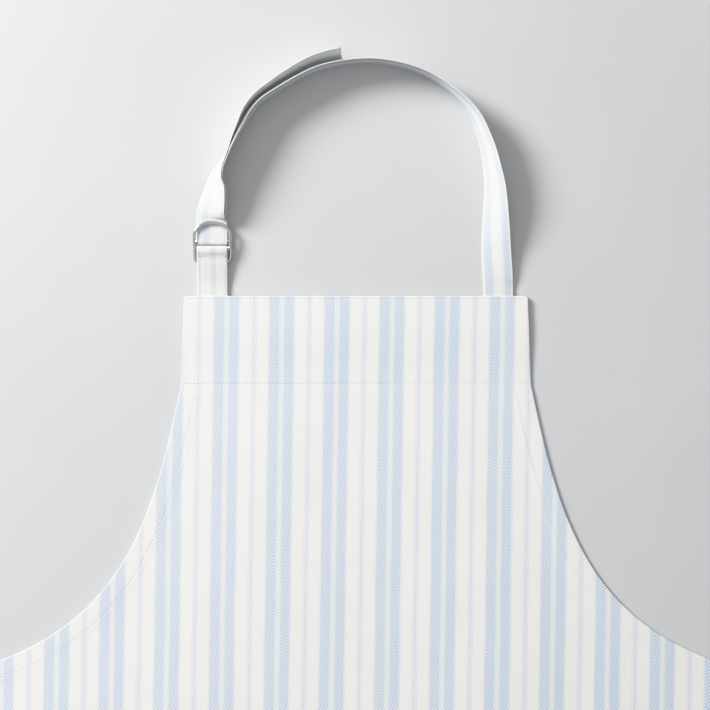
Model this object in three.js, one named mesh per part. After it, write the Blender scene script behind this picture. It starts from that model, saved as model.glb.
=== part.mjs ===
// Butcher apron, laid flat on its back: +X to the right, +Y towards the neck, +Z up. Millimetres.
// The origin is on the surface that the apron lies on, in the middle of the facing's back.
import * as THREE from 'three';

// ---- cloth and tape ----
const clothThickness = 0.6; // one ply of striped ticking
const tapeThickness = 0.9; // strap, ring loop and ties are ticking folded and pressed
const gap = 0.3; // clearance between pieces that touch
const layerDepth = clothThickness + gap + tapeThickness; // facing with a tape end inside it, and hems
const panelZ = layerDepth + gap; // back face of the front panel

// ---- front panel ----
const bodyLength = 850; // top edge of the bib to the lower edge of the skirt
const skirtWidth = 690;
const bibWidth = 275; // along the top edge
const bibFlare = 2.5; // the bib is this much wider, each side, at the foot of its facing
const bibCornerRadius = 3;
const waistDrop = 307; // top edge of the bib to the waist corners
const facingDepth = 71; // deep turned facing behind the top of the bib
const facingInset = 1.5; // the facing stops this far inside the panel's edges
const armholeHemWidth = 15;
const sideHemWidth = 12;
const bottomHemWidth = 25;
const armholeSteps = 28;
const armholeBow = { upperOut: 0.122, upperDown: 0.506, lowerOut: 0.242, lowerDown: 0.886 };

// ---- neck strap and rings ----
const strapWidth = 24;
const legInset = 11; // bib corner to the outer edge of each strap leg
const neckLoopHeight = 185.8; // bib top edge to the crown of the strap
const sewnLength = 28; // tape caught behind the bib
const ringWire = 2.5;
const ringInnerWidth = 26;
const ringDepth = 23.8; // flat bar to crown, outside
const ringCrownHeight = 10.5; // rise of the curved end, at the middle of the wire
const ringCornerRadius = 3;
const backRingBarY = 27.6; // above the bib's top edge
const frontRingBarY = 37.2;
const ringTurnRoom = 0.4; // between the front ring's bar and the tape folded round it
const foldRoom = 4; // space inside the strap's fold, where the back ring can lift a little
const foldSetback = 5.9; // crown of the back ring to the middle of the strap's fold
const tailLength = 198; // fold to the end of the strap, along the strap
const tailPartsAt = 68; // fold to the place where the tail leaves the strap's side
const tailSwingAt = 90; // fold to the place where the free tail starts to swing
const tailStandOff = 4.1; // how far the free tail stands out from the strap
const tailLean = 11; // degrees that the end of the tail leans out beyond the strap
const tailHemLength = 12.5;
const jointCut = 0.8; // slit between the two halves of a tape at a joint

// ---- waist ties ----
const tieWidth = 25;
const tieLength = 900;
const tieSewnLength = 22;
const tieStandOff = 7; // edge of the skirt to the edge of the folded tie
const tieDrop = 2; // waist corner to the upper edge of the tie
const tieEndBelow = 14; // the tie's free end stops this far below its own corner fold
const tieHemLength = 10;

// ---- thread ----
const threadWidth = 0.8;
const threadHeight = 0.25;
const edgeStitchInset = 2;
const hemStitchInset = 2; // inside the inner fold of a hem
const facingStitchInset = 1; // inside the facing's foot
const tackInset = 3; // the waist tie's tack inside the tie's edges

const halfBib = bibWidth / 2;
const halfSkirt = skirtWidth / 2;
const bibTopY = facingDepth / 2;
const waistY = bibTopY - waistDrop;
const hemY = bibTopY - bodyLength;
const facingFootY = bibTopY - facingDepth;
const halfBibFoot = halfBib + bibFlare;
const panelTopZ = panelZ + clothThickness;

const ticking = new THREE.MeshStandardMaterial({ color: 0xe6ebee, roughness: 0.92, metalness: 0 });
const tickingShade = new THREE.MeshStandardMaterial({ color: 0xdfe5ea, roughness: 0.92, metalness: 0 });
const nickel = new THREE.MeshStandardMaterial({ color: 0xb9b8b4, roughness: 0.22, metalness: 1 });
const thread = new THREE.MeshStandardMaterial({ color: 0xf4f3ee, roughness: 0.8, metalness: 0 });

const apron = new THREE.Group();

function addMesh(name, geometry, material) {
  const mesh = new THREE.Mesh(geometry, material);
  mesh.name = name;
  apron.add(mesh);
  return mesh;
}

// ---- outlines ----

// A point between the foot of the bib and the waist corner, by its shares of the way out and down.
function armholePoint(out, down) {
  const x = THREE.MathUtils.lerp(halfBibFoot, halfSkirt, out);
  const y = THREE.MathUtils.lerp(facingFootY, waistY, down);
  return new THREE.Vector2(x, y);
}

// The armhole's edge on the right-hand side: one sweep from the foot of the bib to the waist corner.
const armhole = new THREE.CubicBezierCurve(
  armholePoint(0, 0),
  armholePoint(armholeBow.upperOut, armholeBow.upperDown),
  armholePoint(armholeBow.lowerOut, armholeBow.lowerDown),
  armholePoint(1, 1)
);

// Points along part of the armhole's edge, moved inwards by inset.
function armholeLine(inset, from = 0, to = 1) {
  const points = [];
  for (let i = 0; i <= armholeSteps; i += 1) {
    const t = THREE.MathUtils.lerp(from, to, i / armholeSteps);
    const point = armhole.getPointAt(t);
    const tangent = armhole.getTangentAt(t);
    points.push(new THREE.Vector2(point.x + tangent.y * inset, point.y - tangent.x * inset));
  }
  return points;
}

// Share of the armhole's length at which its edge is this far from the centreline.
function armholeShareAt(x) {
  let low = 0;
  let high = 1;
  for (let i = 0; i < 30; i += 1) {
    const middle = (low + high) / 2;
    if (armhole.getPointAt(middle).x < x) {
      low = middle;
    } else {
      high = middle;
    }
  }
  return low;
}

function mirrored(points) {
  return points.map((point) => new THREE.Vector2(-point.x, point.y));
}

function side(points, sign) {
  return sign > 0 ? points : mirrored(points);
}

function plate(points, lowZ, thickness) {
  const outline = new THREE.Shape(points);
  const geometry = new THREE.ExtrudeGeometry(outline, { depth: thickness, bevelEnabled: false });
  geometry.translate(0, 0, lowZ);
  return geometry;
}

function rectangle(x0, y0, x1, y1) {
  return [
    new THREE.Vector2(x0, y0),
    new THREE.Vector2(x1, y0),
    new THREE.Vector2(x1, y1),
    new THREE.Vector2(x0, y1)
  ];
}

// A band of even width between two lines that run the same way.
function band(outer, inner) {
  return [...outer, ...inner.slice().reverse()];
}

function roundedBibCorner() {
  const arc = new THREE.EllipseCurve(
    halfBib - bibCornerRadius, bibTopY - bibCornerRadius,
    bibCornerRadius, bibCornerRadius, 0, Math.PI / 2, false, 0
  );
  return arc.getPoints(4).reverse();
}

// ---- tapes ----

// A tape is lofted through frames. Each frame has a point on one long edge, the direction across
// the tape and the direction of its face, all at the middle of its thickness.
function tape(frames, width, thickness) {
  const positions = [];
  const indices = [];
  for (const frame of frames) {
    const half = frame.face.clone().multiplyScalar(thickness / 2);
    const far = frame.edge.clone().addScaledVector(frame.across, width);
    positions.push(...frame.edge.clone().sub(half).toArray());
    positions.push(...far.clone().sub(half).toArray());
    positions.push(...far.clone().add(half).toArray());
    positions.push(...frame.edge.clone().add(half).toArray());
  }
  const last = (frames.length - 1) * 4;
  for (let start = 0; start < last; start += 4) {
    for (let corner = 0; corner < 4; corner += 1) {
      const next = (corner + 1) % 4;
      indices.push(start + corner, start + next, start + 4 + next);
      indices.push(start + corner, start + 4 + next, start + 4 + corner);
    }
  }
  indices.push(0, 2, 1, 0, 3, 2);
  indices.push(last, last + 1, last + 2, last, last + 2, last + 3);
  return closedSolid(positions, indices);
}

// Turns the faces outwards when the loft came out inside out.
function closedSolid(positions, indices) {
  let volume = 0;
  const corner = (index) => new THREE.Vector3(...positions.slice(index * 3, index * 3 + 3));
  for (let i = 0; i < indices.length; i += 3) {
    volume += corner(indices[i]).dot(corner(indices[i + 1]).cross(corner(indices[i + 2])));
  }
  const facing = volume > 0 ? indices : indices.slice().reverse();
  const geometry = new THREE.BufferGeometry();
  geometry.setAttribute('position', new THREE.Float32BufferAttribute(positions, 3));
  geometry.setIndex(facing);
  geometry.computeVertexNormals();
  return geometry;
}

// A tape that stays level across and follows a line of [y, z] points, from x0 towards +X.
function levelTape(x0, line, width) {
  const frames = line.map((point, i) => {
    const before = line[Math.max(i - 1, 0)];
    const after = line[Math.min(i + 1, line.length - 1)];
    const along = new THREE.Vector3(0, after.x - before.x, after.y - before.y).normalize();
    return {
      edge: new THREE.Vector3(x0, point.x, point.y),
      across: new THREE.Vector3(1, 0, 0),
      face: new THREE.Vector3(0, -along.z, along.y)
    };
  });
  return tape(frames, width, tapeThickness);
}

// Half a turn of a folded tape seen from the side, from its upper ply to its lower ply. Its open
// side faces +Y when openSide is 1 and -Y when it is -1.
function foldArc(centreY, centreZ, radius, openSide, steps = 10) {
  const points = [];
  for (let i = 0; i <= steps; i += 1) {
    const angle = Math.PI / 2 + Math.PI * (i / steps);
    const reach = openSide * Math.cos(angle) * radius;
    points.push(new THREE.Vector2(centreY + reach, centreZ + Math.sin(angle) * radius));
  }
  return points;
}

// ---- front panel, facing and hems ----

function buildPanel() {
  const right = [...roundedBibCorner(), ...armholeLine(0), new THREE.Vector2(halfSkirt, hemY)];
  const outline = [...right, ...mirrored(right).reverse()];
  addMesh('front_panel', plate(outline, panelZ, clothThickness), ticking);

  const facingTop = halfBib - facingInset;
  const facingFoot = halfBibFoot - facingInset;
  const facing = [
    new THREE.Vector2(facingTop, bibTopY - facingInset),
    new THREE.Vector2(facingFoot, facingFootY),
    new THREE.Vector2(-facingFoot, facingFootY),
    new THREE.Vector2(-facingTop, bibTopY - facingInset)
  ];
  addMesh('top_facing', plate(facing, 0, clothThickness), tickingShade);
}

const tieUpperY = waistY - tieDrop;
const tieLowerY = tieUpperY - tieWidth;

function buildHems() {
  const hemInset = 0.5; // the fold sits just inside the panel's edge
  const hemStart = 0.015; // share of the armhole's length that keeps it clear of the facing
  const hemEnd = armholeShareAt(halfSkirt - tieSewnLength - 2 * gap);
  for (const [word, sign] of [['left', -1], ['right', 1]]) {
    const outer = armholeLine(hemInset, hemStart, hemEnd);
    const curve = band(outer, armholeLine(armholeHemWidth, hemStart, hemEnd));
    addMesh(`armhole_hem_${word}`, plate(side(curve, sign), 0, layerDepth), tickingShade);

    const upper = tieLowerY - gap;
    const lower = hemY + bottomHemWidth + gap;
    const strip = rectangle(halfSkirt - sideHemWidth, lower, halfSkirt - hemInset, upper);
    addMesh(`side_hem_${word}`, plate(side(strip, sign), 0, layerDepth), tickingShade);
  }
  const reach = halfSkirt - hemInset;
  const bottom = rectangle(-reach, hemY + hemInset, reach, hemY + bottomHemWidth);
  addMesh('bottom_hem', plate(bottom, 0, layerDepth), tickingShade);
}

// ---- rings ----

const ringHalf = (ringInnerWidth + ringWire) / 2;
const ringReach = ringDepth - ringWire; // middle of the bar to the middle of the crown

function ringOutline() {
  const path = new THREE.Path();
  const shoulder = ringReach - ringCrownHeight;
  path.moveTo(-ringHalf + ringCornerRadius, 0);
  path.lineTo(ringHalf - ringCornerRadius, 0);
  path.absarc(ringHalf - ringCornerRadius, ringCornerRadius, ringCornerRadius, -Math.PI / 2, 0, false);
  path.lineTo(ringHalf, shoulder);
  path.absellipse(0, shoulder, ringHalf, ringCrownHeight, 0, Math.PI, false, 0);
  path.lineTo(-ringHalf, ringCornerRadius);
  const cornerX = -ringHalf + ringCornerRadius;
  path.absarc(cornerX, ringCornerRadius, ringCornerRadius, Math.PI, Math.PI * 1.5, false);
  const points = path.getSpacedPoints(56);
  points.pop();
  return points;
}

function ringSolid() {
  const outline = ringOutline();
  const sides = 10;
  const positions = [];
  const indices = [];
  outline.forEach((point, i) => {
    const before = outline[(i + outline.length - 1) % outline.length];
    const after = outline[(i + 1) % outline.length];
    const along = after.clone().sub(before).normalize();
    for (let k = 0; k < sides; k += 1) {
      const angle = (k / sides) * Math.PI * 2;
      const out = Math.cos(angle) * ringWire / 2;
      positions.push(point.x + along.y * out, point.y - along.x * out, Math.sin(angle) * ringWire / 2);
    }
  });
  for (let i = 0; i < outline.length; i += 1) {
    const start = i * sides;
    const follow = ((i + 1) % outline.length) * sides;
    for (let k = 0; k < sides; k += 1) {
      const next = (k + 1) % sides;
      indices.push(start + k, start + next, follow + next);
      indices.push(start + k, follow + next, follow + k);
    }
  }
  return closedSolid(positions, indices);
}

const legOuterX = halfBib - legInset;
const ringX = -(legOuterX - strapWidth / 2);
const wireRadius = ringWire / 2;
const closeOffset = tapeThickness + gap; // one ply lying against the next
const foldOffset = tapeThickness + foldRoom; // one ply above the next at the rings
const backRingZ = tapeThickness + gap + wireRadius;
const foldMidZ = tapeThickness + foldRoom / 2;
const foldRadius = (foldRoom + tapeThickness) / 2;
const foldMidY = bibTopY + backRingBarY + ringReach - foldSetback;
const ringCrownY = bibTopY + frontRingBarY + ringDepth;
const tailRingZ = 2 * tapeThickness + foldRoom; // upper face of the tail between the rings
const ringLift = 2 * gap; // the back ring may lift by this much beside the front ring's bar
const frontRingBarZ = backRingZ + ringWire + ringLift;

// The front ring slopes so that its wire clears the tail where it crosses the tail's edges.
const crossing = Math.sqrt(1 - (strapWidth / 2 / ringHalf) ** 2);
const crossingReach = ringReach - ringCrownHeight * (1 - crossing);
const frontRingSlope = (tailRingZ + gap + wireRadius - frontRingBarZ) / crossingReach;

function buildRings() {
  const back = addMesh('d_ring_back', ringSolid(), nickel);
  back.position.set(ringX, bibTopY + backRingBarY, backRingZ);
  const front = addMesh('d_ring_front', ringSolid(), nickel);
  front.position.set(ringX, bibTopY + frontRingBarY, frontRingBarZ);
  front.rotation.x = Math.atan(frontRingSlope);
}

// ---- ring loop: a short tape folded round both bars ----

function buildRingLoop() {
  const lowZ = tapeThickness / 2;
  const radius = wireRadius + ringTurnRoom + lowZ;
  const frontY = bibTopY + frontRingBarY;
  const backY = bibTopY + backRingBarY;
  const overBackZ = backRingZ + wireRadius + 2 * gap + lowZ;
  const startY = bibTopY + gap;
  const closeZ = lowZ + closeOffset;
  const rampStart = 18; // below the back ring's bar, where the upper ply starts to rise over it
  const crestHalf = 2; // half of the stretch that lies on the back ring's bar
  const crestRise = 0.8;
  const turnStart = 3; // below the front ring's bar
  const turnEase = { high: 0.35, low: 0.25 }; // flattens the two ends of the turn round the bar
  const underStart = 1.5;
  const underEnd = 6.5; // the lower ply is down again this far below the front ring's bar
  const line = [
    new THREE.Vector2(startY, closeZ),
    new THREE.Vector2(backY - rampStart, closeZ + ringTurnRoom),
    new THREE.Vector2(backY - crestHalf, overBackZ),
    new THREE.Vector2(backY + crestHalf, overBackZ + crestRise),
    new THREE.Vector2(frontY - turnStart, frontRingBarZ + radius - turnEase.high),
    ...foldArc(frontY, frontRingBarZ, radius, -1),
    new THREE.Vector2(frontY - underStart, frontRingBarZ - radius - turnEase.low),
    new THREE.Vector2(frontY - underEnd, lowZ),
    new THREE.Vector2(startY, lowZ)
  ];
  addMesh('ring_loop_tape', levelTape(ringX - strapWidth / 2, line, strapWidth), ticking);
  addSewnEnd('ring_loop_sewn_end', ringX);
}

function addSewnEnd(name, centreX) {
  const outline = rectangle(
    centreX - strapWidth / 2, bibTopY - sewnLength, centreX + strapWidth / 2, bibTopY
  );
  addMesh(name, plate(outline, clothThickness + gap, tapeThickness), ticking);
}

// ---- neck strap ----

// Stations of the strap's outer line, seen from above. across is a share of the distance from the
// centreline to a leg's outer edge. twist is 90 where the strap stands on its edge, 0 where it lies
// flat with its front up and 180 where it lies flat with its back up: it has half a twist in all.
// On the ring side rise is a share of the way from the front ring's crown to the loop's crown.
const ringSideStations = [
  { across: -1.004, rise: 0, twist: 0 },
  { across: -0.992, rise: 0.065, twist: 14 },
  { across: -0.967, rise: 0.137, twist: 29 },
  { across: -0.943, rise: 0.208, twist: 43 },
  { across: -0.92, rise: 0.276, twist: 57 },
  { across: -0.88, rise: 0.339, twist: 70 },
  { across: -0.828, rise: 0.407, twist: 79 },
  { across: -0.77, rise: 0.494, twist: 85 },
  { across: -0.714, rise: 0.58, twist: 88 },
  { across: -0.65, rise: 0.68, twist: 90 },
  { across: -0.59, rise: 0.747, twist: 90 },
  { across: -0.486, rise: 0.818, twist: 90 },
  { across: -0.37, rise: 0.887, twist: 90 },
  { across: -0.24, rise: 0.949, twist: 90 },
  { across: -0.074, rise: 0.988, twist: 90 }
];
// On the sewn side rise is a share of the way from the bib's top edge to the loop's crown.
const sewnSideStations = [
  { across: 0.08, rise: 1, twist: 90 },
  { across: 0.18, rise: 0.995, twist: 90 },
  { across: 0.29, rise: 0.981, twist: 90 },
  { across: 0.41, rise: 0.955, twist: 91 },
  { across: 0.51, rise: 0.922, twist: 92 },
  { across: 0.62, rise: 0.87, twist: 95 },
  { across: 0.71, rise: 0.818, twist: 99 },
  { across: 0.782, rise: 0.757, twist: 104 },
  { across: 0.836, rise: 0.681, twist: 110 },
  { across: 0.872, rise: 0.619, twist: 115 },
  { across: 0.9, rise: 0.554, twist: 121 },
  { across: 0.932, rise: 0.468, twist: 130 },
  { across: 0.959, rise: 0.328, twist: 148 },
  { across: 0.978, rise: 0.188, twist: 166 },
  { across: 0.99, rise: 0.09, twist: 174 },
  { across: 0.993, rise: 0.04, twist: 179 },
  { across: 0.993, rise: 0.004, twist: 180 }
];
const strapSteps = 110;
const nearBibShare = 0.9; // share of the strap's curve from which it rises to its place behind the bib
const headingStep = 0.002; // share of the curve over which the strap's direction is taken
const settleLength = 34; // the tail comes down onto the strap within this length beyond the rings
const partingLength = 48; // and moves away from it again within this one

function buildStrapCurve() {
  const crownY = bibTopY + neckLoopHeight;
  const outerX = ringX - strapWidth / 2;
  const place = (station, baseY) => new THREE.Vector3(
    station.across * legOuterX, THREE.MathUtils.lerp(baseY, crownY, station.rise), station.twist
  );
  const points = [
    new THREE.Vector3(outerX, foldMidY, 0),
    new THREE.Vector3(outerX, (foldMidY + ringCrownY) / 2, 0),
    ...ringSideStations.map((station) => place(station, ringCrownY)),
    ...sewnSideStations.map((station) => place(station, bibTopY))
  ];
  return new THREE.CatmullRomCurve3(points, false, 'centripetal');
}

const strapCurve = buildStrapCurve();

// One frame of the strap, from its lower edge. raise lifts it off the surface, offset moves it along its own face.
function strapFrame(t, raise, offset, lean) {
  const spot = strapCurve.getPoint(t);
  const ahead = strapCurve.getPoint(Math.min(t + headingStep, 1));
  const behind = strapCurve.getPoint(Math.max(t - headingStep, 0));
  const heading = new THREE.Vector3(ahead.x - behind.x, ahead.y - behind.y, 0).normalize();
  const inwards = new THREE.Vector3(heading.y, -heading.x, 0);
  const twist = THREE.MathUtils.degToRad(THREE.MathUtils.clamp(spot.z, 0, 180));
  const tilt = twist + THREE.MathUtils.degToRad(lean);
  const up = new THREE.Vector3(0, 0, 1);
  const across = inwards.clone().multiplyScalar(Math.cos(tilt)).addScaledVector(up, Math.sin(tilt));
  const face = inwards.clone().multiplyScalar(-Math.sin(tilt)).addScaledVector(up, Math.cos(tilt));
  const push = inwards.clone().multiplyScalar(-Math.sin(twist)).addScaledVector(up, Math.cos(twist));
  const low = (tapeThickness / 2) * Math.abs(Math.cos(twist)) + raise;
  const inset = strapWidth * Math.max(-Math.cos(twist), 0); // past 90 degrees the inner edge is the lower one
  const edge = new THREE.Vector3(spot.x, spot.y, low);
  edge.addScaledVector(inwards, inset).addScaledVector(push, offset);
  edge.z = Math.max(edge.z, Math.abs(face.z) * (tapeThickness / 2));
  return { edge, across, face };
}

// Length along the strap's lower edge at even steps of the curve, for placing the tail.
function strapLengths() {
  const lengths = [0];
  for (let i = 1; i <= strapSteps; i += 1) {
    const here = strapCurve.getPoint(i / strapSteps);
    const before = strapCurve.getPoint((i - 1) / strapSteps);
    lengths.push(lengths[i - 1] + Math.hypot(here.x - before.x, here.y - before.y));
  }
  return lengths;
}

const lengths = strapLengths();

function strapPlace(distance) {
  let i = 1;
  while (i < strapSteps && lengths[i] < distance) {
    i += 1;
  }
  const share = (distance - lengths[i - 1]) / (lengths[i] - lengths[i - 1]);
  return (i - 1 + share) / strapSteps;
}

// The tail lies high over the back ring, settles on the strap, then stands away from it.
function tailFrame(distance) {
  const ease = THREE.MathUtils.smoothstep;
  const ringRegion = ringCrownY - foldMidY;
  const settled = ease(distance, ringRegion, ringRegion + settleLength);
  const parted = ease(distance, tailPartsAt, tailPartsAt + partingLength);
  const offset = THREE.MathUtils.lerp(foldOffset, closeOffset, settled) + tailStandOff * parted;
  const lean = tailLean * ease(distance, tailSwingAt, tailLength);
  return strapFrame(strapPlace(distance), 0, offset, lean);
}

function tailRun(from, to, steps) {
  const frames = [];
  for (let i = 0; i <= steps; i += 1) {
    frames.push(tailFrame(THREE.MathUtils.lerp(from, to, i / steps)));
  }
  return frames;
}

function flipped(frame) {
  return { edge: frame.edge, across: frame.across, face: frame.face.clone().negate() };
}

function buildStrap() {
  const held = tailRun(0, tailSwingAt - jointCut, 30).reverse();
  const outerX = ringX - strapWidth / 2;
  const turn = foldArc(foldMidY, foldMidZ, foldRadius, 1, 10).slice(1, -1).map((point) => ({
    edge: new THREE.Vector3(outerX, point.x, point.y),
    across: new THREE.Vector3(1, 0, 0),
    face: new THREE.Vector3(0, point.x - foldMidY, point.y - foldMidZ).normalize()
  }));
  const main = [];
  for (let i = 0; i <= strapSteps; i += 1) {
    const nearBib = THREE.MathUtils.smoothstep(i / strapSteps, nearBibShare, 1);
    const raise = (clothThickness + gap) * nearBib;
    main.push(flipped(strapFrame(i / strapSteps, raise, 0, 0)));
  }
  addMesh('neck_strap', tape([...held, ...turn, ...main], strapWidth, tapeThickness), ticking);
  addSewnEnd('neck_strap_sewn_end', -ringX);

  const tail = tailRun(tailSwingAt, tailLength, 40);
  addMesh('strap_tail', tape(tail, strapWidth, tapeThickness), ticking);
  const hem = tailRun(tailLength - tailHemLength, tailLength - gap, 4).map((frame) => ({
    edge: frame.edge.clone().addScaledVector(frame.face, closeOffset).addScaledVector(frame.across, gap),
    across: frame.across,
    face: frame.face
  }));
  addMesh('strap_end_hem', tape(hem, strapWidth - 2 * gap, tapeThickness), tickingShade);
}

// ---- waist ties: sewn behind the corner, turned down at a flat corner fold, doubled once ----

function buildTie(word, sign) {
  const ply = closeOffset;
  const highZ = ply;
  const innerX = halfSkirt + tieStandOff;
  const outerX = innerX + tieWidth;
  const startX = halfSkirt + 2 * gap;
  const foldX = innerX + tieWidth / 2;
  const used = tieSewnLength + (foldX - halfSkirt);
  const endY = tieLowerY - tieEndBelow;
  const middleY = (tieUpperY + tieLowerY) / 2;
  const turnY = endY - (tieLength - used - (middleY - endY)) / 2;

  const sewn = rectangle(halfSkirt - tieSewnLength, tieLowerY, halfSkirt, tieUpperY);
  const sewnPlate = plate(side(sewn, sign), clothThickness + gap, tapeThickness);
  addMesh(`waist_tie_sewn_end_${word}`, sewnPlate, ticking);

  const tab = side([
    new THREE.Vector2(startX, tieLowerY),
    new THREE.Vector2(outerX, tieLowerY),
    new THREE.Vector2(innerX, tieUpperY),
    new THREE.Vector2(startX, tieUpperY)
  ], sign);
  addMesh(`waist_tie_tab_${word}`, plate(tab, highZ, tapeThickness), ticking);

  const midLow = tapeThickness / 2;
  const midHigh = highZ + tapeThickness / 2;
  const doubled = foldArc(turnY, (midLow + midHigh) / 2, ply / 2, 1, 8);
  const line = [new THREE.Vector2(endY, midHigh), ...doubled, new THREE.Vector2(tieLowerY, midLow)];
  const leftX = sign > 0 ? innerX : -outerX;
  addMesh(`waist_tie_${word}`, levelTape(leftX, line, tieWidth), ticking);

  const corner = side([
    new THREE.Vector2(innerX, tieLowerY + gap),
    new THREE.Vector2(outerX - gap, tieLowerY + gap),
    new THREE.Vector2(innerX, tieUpperY - gap)
  ], sign);
  addMesh(`waist_tie_corner_fold_${word}`, plate(corner, 0, tapeThickness), ticking);

  const hem = rectangle(innerX + gap, endY - tieHemLength, outerX - gap, endY - gap);
  addMesh(`tie_end_hem_${word}`, plate(side(hem, sign), highZ + ply, clothThickness), tickingShade);
}

// ---- rows of thread on the face of the panel ----

function addThread(name, outline) {
  addMesh(name, plate(outline, panelTopZ + gap, threadHeight), thread);
}

function buildThreads() {
  const armholeThread = { from: 0.02, to: 0.95 }; // shares of the armhole's length
  const across = halfBib - edgeStitchInset;
  const topY = bibTopY - edgeStitchInset;
  addThread('thread_bib_top', rectangle(-across, topY - threadWidth, across, topY));
  const footY = facingFootY + facingStitchInset;
  addThread('thread_facing', rectangle(-across, footY, across, footY + threadWidth));
  const bottomY = hemY + bottomHemWidth - hemStitchInset;
  const reach = halfSkirt - sideHemWidth - threadWidth;
  addThread('thread_bottom_hem', rectangle(-reach, bottomY - threadWidth, reach, bottomY));
  for (const [word, sign] of [['left', -1], ['right', 1]]) {
    const inset = armholeHemWidth - hemStitchInset;
    const outer = armholeLine(inset, armholeThread.from, armholeThread.to);
    const inner = armholeLine(inset + threadWidth, armholeThread.from, armholeThread.to);
    addThread(`thread_armhole_${word}`, side(band(outer, inner), sign));
    const sideX = halfSkirt - sideHemWidth + hemStitchInset;
    const sideTop = tieLowerY - hemStitchInset;
    const strip = rectangle(sideX, hemY + bottomHemWidth, sideX + threadWidth, sideTop);
    addThread(`thread_side_${word}`, side(strip, sign));
    const tackX = halfSkirt - tieSewnLength + edgeStitchInset;
    const tackY = tieLowerY + tackInset;
    const tack = rectangle(tackX, tackY, halfSkirt - tackInset, tackY + threadWidth);
    addThread(`thread_tie_tack_${word}`, side(tack, sign));
  }
}

buildPanel();
buildHems();
buildRings();
buildRingLoop();
buildStrap();
buildTie('left', -1);
buildTie('right', 1);
buildThreads();

export default apron;
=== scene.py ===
"""Looks of a butcher apron that lies on its back: +X to the right, +Y towards the neck, +Z up."""

import math

import bpy
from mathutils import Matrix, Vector, noise


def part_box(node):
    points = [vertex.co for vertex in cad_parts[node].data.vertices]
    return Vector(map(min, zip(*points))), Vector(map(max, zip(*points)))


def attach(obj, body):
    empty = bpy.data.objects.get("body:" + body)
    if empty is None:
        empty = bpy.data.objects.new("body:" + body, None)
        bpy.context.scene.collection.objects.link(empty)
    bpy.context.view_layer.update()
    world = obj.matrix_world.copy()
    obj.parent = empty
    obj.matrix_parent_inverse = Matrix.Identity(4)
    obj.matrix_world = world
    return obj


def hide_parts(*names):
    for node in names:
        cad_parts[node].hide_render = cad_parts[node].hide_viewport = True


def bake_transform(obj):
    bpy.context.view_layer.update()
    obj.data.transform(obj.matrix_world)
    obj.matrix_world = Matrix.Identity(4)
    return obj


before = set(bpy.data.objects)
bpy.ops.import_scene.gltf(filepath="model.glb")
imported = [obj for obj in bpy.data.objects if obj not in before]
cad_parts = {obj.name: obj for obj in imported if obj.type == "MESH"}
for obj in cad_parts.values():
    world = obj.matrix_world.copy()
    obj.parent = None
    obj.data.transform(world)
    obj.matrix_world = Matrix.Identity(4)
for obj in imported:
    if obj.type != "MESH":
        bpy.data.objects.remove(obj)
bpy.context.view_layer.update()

# Lengths are in millimetres, as in the part's own source. add_piece() and metres() change them to metres.
MM = 0.001

# ---- cloth, tape and rings ----
CLOTH = 0.6
TAPE = 0.9
GAP = 0.3
STRAP_WIDTH = 24
TIE_WIDTH = 25
TIE_SEWN = 22
SEWN_LENGTH = 28
HEM_WIDTH = 15
BOTTOM_HEM = 25
SIDE_HEM = 12
RING_WIRE = 2.5
RING_INNER = 26
RING_DEPTH = 23.8
RING_CROWN = 10.5
RING_CORNER = 3
NECK_LOOP_HEIGHT = 185.8
BACK_BAR = 27.6
FRONT_BAR = 37.2
FOLD_ROOM = 4
FOLD_SETBACK = 5.9
TAIL_LENGTH = 198
TAIL_PARTS_AT = 68
TAIL_SWING_AT = 90
TAIL_STAND_OFF = 4.1
TAIL_LEAN = 11
TAIL_HEM = 12.5
TAIL_SETTLE = 34
TAIL_PARTING = 48
TAIL_BEND = 9

# ---- relief of the front panel ----
# Heights at which the panel lies: by itself, on the facing, on a hem, and on a sewn tape end.
BARE_REST = 0.4
FACING_REST = 0.8
HEM_REST = 1.0
TAPE_REST = 2.3
EDGE_STITCH = 2
HEM_STITCH = 13
BOTTOM_STITCH = 23
FACING_STITCH = 69.7
EDGE_CURL = 0.8
RIM_Z = 0.5
MARGIN = 22

SIDES = (("left", -1), ("right", 1))
UP = Vector((0, 0, 1))
RIGHT = Vector((1, 0, 0))


def node_box(name):
    low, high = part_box(name)
    return low / MM, high / MM


panel_low, panel_high = node_box("front_panel")
half_skirt = panel_high.x
bib_top = panel_high.y
hem_y = panel_low.y
facing_low, facing_high = node_box("top_facing")
facing_foot = facing_low.y
facing_depth = bib_top - facing_foot
tab_low, tab_high = node_box("waist_tie_tab_right")
loop_low, loop_high = node_box("ring_loop_tape")
ring_x = (loop_low.x + loop_high.x) / 2
leg_outer = STRAP_WIDTH / 2 - ring_x


def metres(x, y, z):
    return (x * MM, y * MM, z * MM)


def lerp(low, high, share):
    return low + (high - low) * share


def smooth(value, low, high):
    share = min(max((value - low) / (high - low), 0), 1)
    return share * share * (3 - 2 * share)


# ---- meshes ----


def add_object(name, data, place=(0, 0, 0)):
    thing = bpy.data.objects.new(name, data)
    thing.location = place
    bpy.context.scene.collection.objects.link(thing)
    return thing


def signed_volume(vertices, faces):
    total = 0
    for face in faces:
        first = vertices[face[0]]
        for second, third in zip(face[1:], face[2:]):
            total += first.dot(vertices[second].cross(vertices[third]))
    return total


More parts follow.
